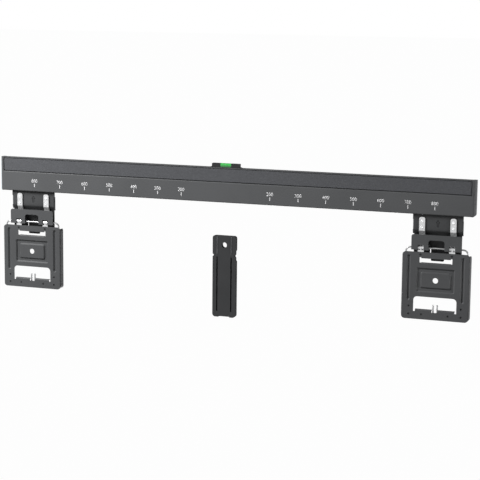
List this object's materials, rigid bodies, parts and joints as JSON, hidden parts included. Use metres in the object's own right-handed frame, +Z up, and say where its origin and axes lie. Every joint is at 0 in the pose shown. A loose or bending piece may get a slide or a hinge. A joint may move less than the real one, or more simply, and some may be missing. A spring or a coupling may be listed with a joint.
{
  "type": "tv wall bracket",
  "caption": "Flat wall rail with a screw cover strip, bubble level and scale, hinged hanging brackets with pressed TV plates and wire bails, and a loose spacer strip.",
  "frame": {"origin": "on the wall face, at the middle of the rail's screw web", "axes": "+X along the rail, +Y into the wall, +Z up; the front faces -Y"},
  "size_m": [0.934, 0.0159, 0.2898],
  "materials": {
    "black_paint": "fine matt powder coat",
    "bracket_paint": "fine matt powder coat",
    "cover_plastic": "fine grain",
    "level_plastic": "satin",
    "vial_green": "clear green",
    "spacer_plastic": "matt",
    "zinc": "zinc plated",
    "print_ink": "white ink"
  },
  "bodies": {
    "rail": {"wall_rail": "black_paint", "screw_cover": "cover_plastic", "level_body": "level_plastic", "level_vial": "vial_green", "spacer_strip": "spacer_plastic"},
    "left_hook": {"left_hook_plate": "bracket_paint", "left_hinge_cover": "bracket_paint", "left_strap_outer": "zinc", "left_strap_inner": "zinc", "left_strap_rivets": "zinc"},
    "left_tv": {"left_tv_plate": "bracket_paint", "left_leaf_outer": "zinc", "left_leaf_inner": "zinc", "left_leaf_rivets": "bracket_paint"},
    "left_bail": {"left_wire_bail": "zinc"},
    "right_hook": {"right_hook_plate": "bracket_paint", "right_hinge_cover": "bracket_paint", "right_strap_outer": "zinc", "right_strap_inner": "zinc", "right_strap_rivets": "zinc"},
    "right_tv": {"right_tv_plate": "bracket_paint", "right_leaf_outer": "zinc", "right_leaf_inner": "zinc", "right_leaf_rivets": "bracket_paint"},
    "right_bail": {"right_wire_bail": "zinc"}
  },
  "joints": [
    {"name": "left_bracket_slide", "type": "slide", "parent": "rail", "child": "left_hook", "axis": [1, 0, 0], "range_m": [0, 0.3]},
    {"name": "left_plate_swing", "type": "hinge", "parent": "left_hook", "child": "left_tv", "pos_m": [-0.4, -0.0104, -0.11055], "axis": [-1, 0, 0], "range_deg": [0, 15]},
    {"name": "left_bail_swing", "type": "hinge", "parent": "left_tv", "child": "left_bail", "pos_m": [-0.4, -0.0104, -0.11055], "axis": [1, 0, 0], "range_deg": [0, 18]},
    {"name": "right_bracket_slide", "type": "slide", "parent": "rail", "child": "right_hook", "axis": [-1, 0, 0], "range_m": [0, 0.3]},
    {"name": "right_plate_swing", "type": "hinge", "parent": "right_hook", "child": "right_tv", "pos_m": [0.4, -0.0104, -0.11055], "axis": [-1, 0, 0], "range_deg": [0, 15]},
    {"name": "right_bail_swing", "type": "hinge", "parent": "right_tv", "child": "right_bail", "pos_m": [0.4, -0.0104, -0.11055], "axis": [1, 0, 0], "range_deg": [0, 18]}
  ]
}
